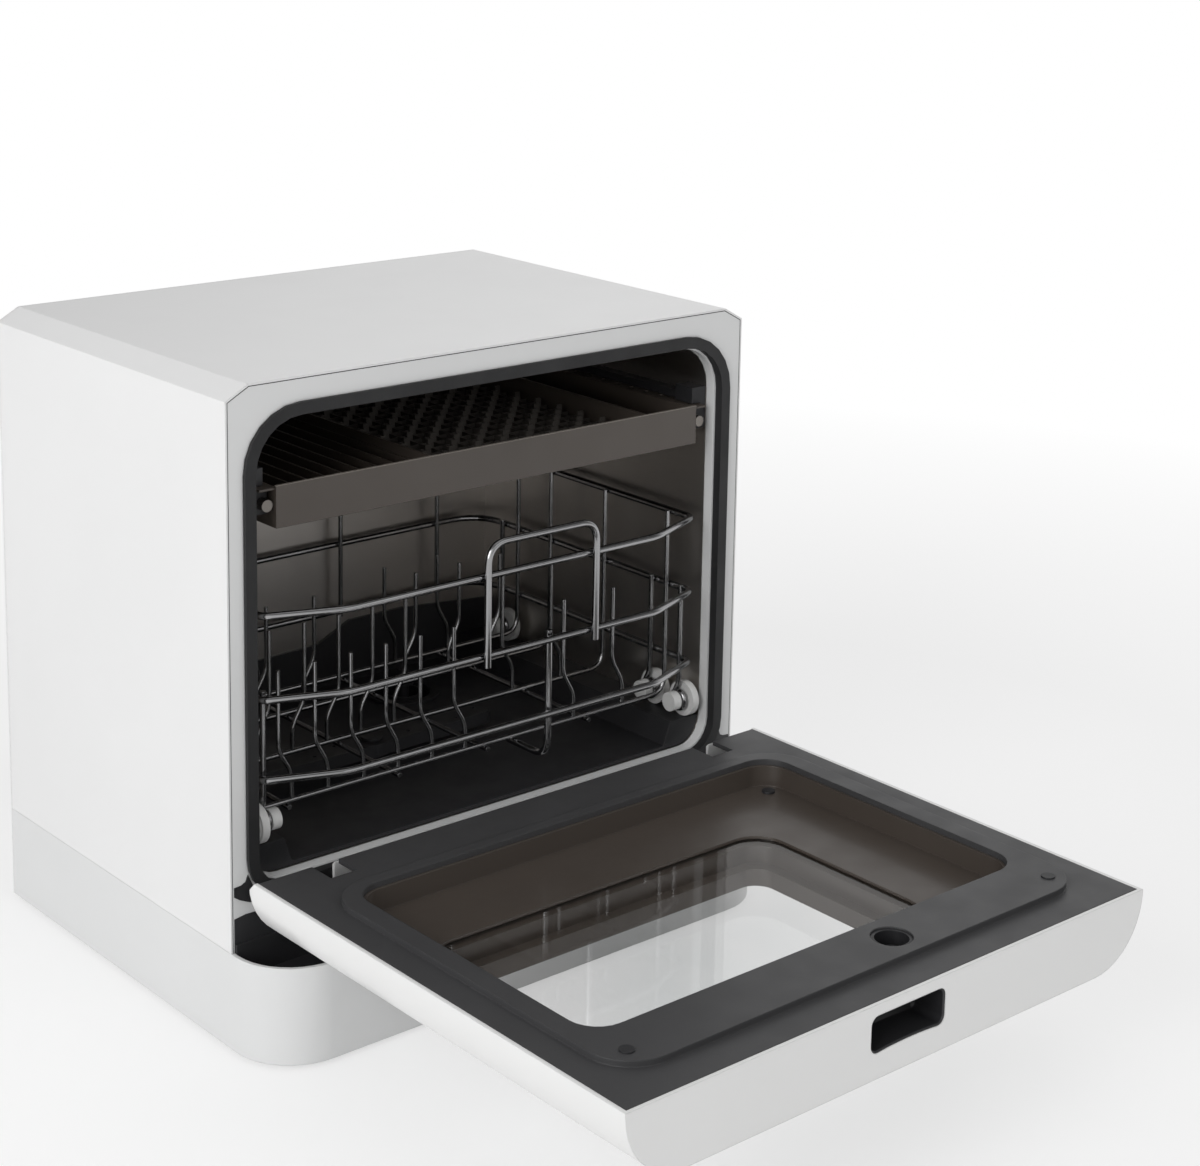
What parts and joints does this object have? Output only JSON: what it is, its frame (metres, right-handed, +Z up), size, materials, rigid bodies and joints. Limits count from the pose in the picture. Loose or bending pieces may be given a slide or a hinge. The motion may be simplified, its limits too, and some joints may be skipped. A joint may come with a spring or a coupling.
{
  "type": "countertop dishwasher",
  "caption": "Compact dishwasher for a counter, with a drop-down windowed door, a wheeled wire basket and a pull-out cutlery tray.",
  "frame": {"origin": "on the counter, under the middle of the open machine's box (open door to rear fittings)", "axes": "+X to the machine's right seen from the front, +Y to its back, +Z up; the front faces -Y"},
  "size_m": [0.494, 0.932, 0.434],
  "materials": {
    "white_enamel": "satin",
    "white_plastic": "gloss",
    "grey_plastic": "satin",
    "black_plastic": "matte",
    "dark_liner": "satin",
    "bronze_plastic": "satin",
    "gasket_rubber": "matte",
    "tub_steel": "brushed",
    "hinge_steel": "satin",
    "basket_wire": "polished",
    "wheel_plastic": "satin",
    "window_glass": "clear",
    "smoked_panel": "gloss",
    "circuit_board": "matte",
    "hose_grey": "satin",
    "clear_tube": "satin"
  },
  "bodies": {
    "cabinet": {"side_casing": "white_enamel", "back_panel": "white_enamel", "base_moulding": "grey_plastic", "toe_cover": "black_plastic", "front_frame": "grey_plastic", "door_gasket": "gasket_rubber", "tub_shell": "tub_steel", "tub_floor": "black_plastic", "sump_filter": "black_plastic", "spray_hub": "black_plastic", "tray_guides": "black_plastic", "drying_vent": "black_plastic", "drying_fan": "black_plastic", "circulation_pump": "grey_plastic", "drain_pump": "black_plastic", "flow_heater": "tub_steel", "inlet_valve": "white_plastic", "hinge_brackets": "black_plastic", "feet": "gasket_rubber", "drain_spigot": "black_plastic", "inlet_fitting": "white_plastic", "drain_hose": "hose_grey", "drain_coil": "hose_grey", "inlet_tube": "clear_tube", "inlet_coil": "clear_tube"},
    "door": {"door_shell": "white_plastic", "door_liner": "dark_liner", "door_pan": "bronze_plastic", "inner_pane": "window_glass", "outer_pane": "window_glass", "window_frame": "bronze_plastic", "handle_pocket": "black_plastic", "liner_vent": "black_plastic", "screw_caps": "black_plastic", "control_panel": "smoked_panel", "control_board": "circuit_board", "hinge_arms": "hinge_steel"},
    "basket": {"top_rail": "basket_wire", "side_rails": "basket_wire", "cross_wires": "basket_wire", "rear_posts": "basket_wire", "plate_tines": "basket_wire", "cup_tines": "basket_wire", "basket_handle": "basket_wire", "wheel_legs": "basket_wire"},
    "tray": {"tray_shell": "bronze_plastic", "rib_insert": "bronze_plastic", "peg_mat": "gasket_rubber", "tray_rods": "hinge_steel", "tray_glides": "black_plastic"},
    "spray_arm": {"spray_arm": "black_plastic"},
    "power_button": {"power_button": "grey_plastic"},
    "mode_button": {"mode_button": "grey_plastic"},
    "start_button": {"start_button": "grey_plastic"},
    "wheel_front_left": {"wheel_front_left": "wheel_plastic"},
    "wheel_mid_left": {"wheel_mid_left": "wheel_plastic"},
    "wheel_rear_left": {"wheel_rear_left": "wheel_plastic"},
    "wheel_front_right": {"wheel_front_right": "wheel_plastic"},
    "wheel_mid_right": {"wheel_mid_right": "wheel_plastic"},
    "wheel_rear_right": {"wheel_rear_right": "wheel_plastic"}
  },
  "joints": [
    {"name": "door_hinge", "type": "hinge", "parent": "cabinet", "child": "door", "pos_m": [0, -0.0065, 0.091], "axis": [1, 0, 0], "range_deg": [-90, 0]},
    {"name": "basket_slide", "type": "slide", "parent": "cabinet", "child": "basket", "axis": [0, -1, 0], "range_m": [0, 0.265]},
    {"name": "tray_slide", "type": "slide", "parent": "cabinet", "child": "tray", "axis": [0, -1, 0], "range_m": [0, 0.171]},
    {"name": "spray_arm_spin", "type": "hinge", "parent": "cabinet", "child": "spray_arm", "pos_m": [-0.02, 0.1545, 0.1215], "axis": [0, 0, 1], "continuous": true},
    {"name": "power_button_press", "type": "slide", "parent": "door", "child": "power_button", "axis": [0, 0, 1], "range_m": [0, 0.0012], "stiffness_N_per_m": 400, "springref_m": -0.002},
    {"name": "mode_button_press", "type": "slide", "parent": "door", "child": "mode_button", "axis": [0, 0, 1], "range_m": [0, 0.0012], "stiffness_N_per_m": 400, "springref_m": -0.002},
    {"name": "start_button_press", "type": "slide", "parent": "door", "child": "start_button", "axis": [0, 0, 1], "range_m": [0, 0.0012], "stiffness_N_per_m": 400, "springref_m": -0.002},
    {"name": "wheel_front_left_spin", "type": "hinge", "parent": "basket", "child": "wheel_front_left", "pos_m": [-0.1789, 0.0475, 0.1413], "axis": [1, 0, 0], "continuous": true},
    {"name": "wheel_mid_left_spin", "type": "hinge", "parent": "basket", "child": "wheel_mid_left", "pos_m": [-0.1789, 0.0795, 0.1413], "axis": [1, 0, 0], "continuous": true},
    {"name": "wheel_rear_left_spin", "type": "hinge", "parent": "basket", "child": "wheel_rear_left", "pos_m": [-0.1789, 0.2575, 0.1413], "axis": [1, 0, 0], "continuous": true},
    {"name": "wheel_front_right_spin", "type": "hinge", "parent": "basket", "child": "wheel_front_right", "pos_m": [0.1789, 0.0475, 0.1413], "axis": [1, 0, 0], "continuous": true},
    {"name": "wheel_mid_right_spin", "type": "hinge", "parent": "basket", "child": "wheel_mid_right", "pos_m": [0.1789, 0.0795, 0.1413], "axis": [1, 0, 0], "continuous": true},
    {"name": "wheel_rear_right_spin", "type": "hinge", "parent": "basket", "child": "wheel_rear_right", "pos_m": [0.1789, 0.2575, 0.1413], "axis": [1, 0, 0], "continuous": true}
  ]
}
